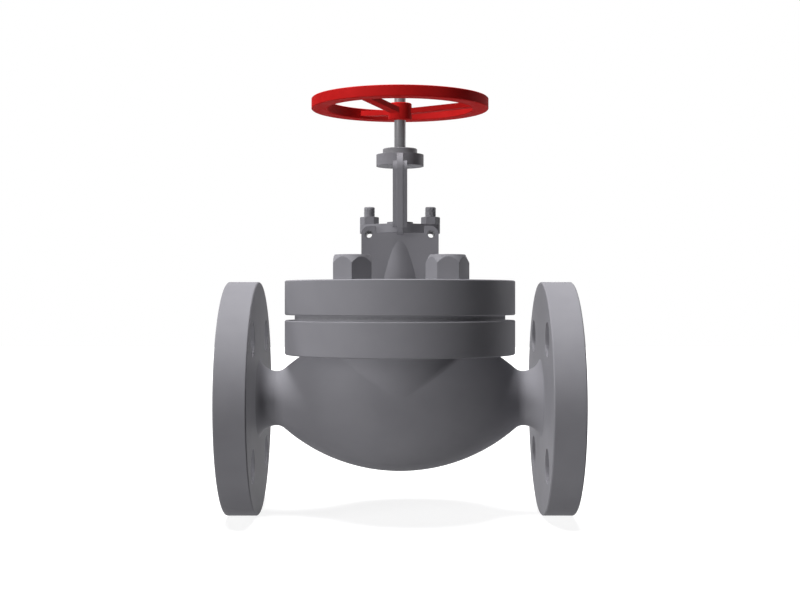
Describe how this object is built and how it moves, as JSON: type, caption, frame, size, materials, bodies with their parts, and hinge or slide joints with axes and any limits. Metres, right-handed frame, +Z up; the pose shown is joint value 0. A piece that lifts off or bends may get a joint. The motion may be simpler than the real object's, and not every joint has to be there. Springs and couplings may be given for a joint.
{
  "type": "flanged globe valve",
  "caption": "Globe valve with flanged pipe ends, bolted round bonnet, outside yoke, rising stem with a disc on its seat, and a dished red handwheel.",
  "frame": {"origin": "centre of the inlet flange's gasket face, on the pipe's axis", "axes": "+X along the pipe from inlet to outlet, +Z up along the stem, +Y to the back"},
  "size_m": [0.229, 0.1554, 0.2837],
  "materials": {
    "grey_enamel": "grey enamel over cast steel, matt",
    "grey_steel": "grey enamel over forged steel, matt",
    "trim_steel": "machined stainless steel",
    "screw_steel": "blackened steel",
    "stem_steel": "ground steel, dull grey",
    "nut_iron": "machined austenitic iron",
    "graphite_braid": "braided graphite yarn",
    "gasket_sheet": "grey pressed fibre sheet",
    "wheel_enamel": "red enamel over cast iron"
  },
  "bodies": {
    "casing": {"body": "grey_enamel", "seat_ring": "trim_steel", "bonnet": "grey_enamel", "bonnet_gasket": "gasket_sheet", "bonnet_bolts": "grey_steel", "backseat_bush": "trim_steel", "packing_washer": "trim_steel", "packing_ring_1": "graphite_braid", "packing_ring_2": "graphite_braid", "packing_ring_3": "graphite_braid", "packing_ring_4": "graphite_braid", "packing_ring_5": "graphite_braid", "gland_follower": "trim_steel", "gland_flange": "grey_steel", "swing_bolt_left": "grey_steel", "swing_bolt_right": "grey_steel", "swing_pin_left": "screw_steel", "swing_pin_right": "screw_steel", "gland_nuts": "grey_steel", "stem_nut": "nut_iron", "stem_nut_screw": "screw_steel"},
    "disc_set": {"disc": "trim_steel", "disc_nut": "trim_steel"},
    "stem_set": {"stem": "stem_steel", "handwheel": "wheel_enamel", "wheel_key": "screw_steel", "wheel_screw": "screw_steel"}
  },
  "joints": [
    {"name": "disc_lift", "type": "slide", "parent": "casing", "child": "disc_set", "axis": [0, 0, 1], "range_m": [0, 0.012]},
    {"name": "stem_turn", "type": "hinge", "parent": "disc_set", "child": "stem_set", "pos_m": [0.1145, 0, 0.1609], "axis": [0, 0, 1], "range_deg": [0, 2880]}
  ],
  "couplings": [
    {"joint": "disc_lift", "follows": "stem_turn", "m_per_rad": 0.00023873}
  ]
}
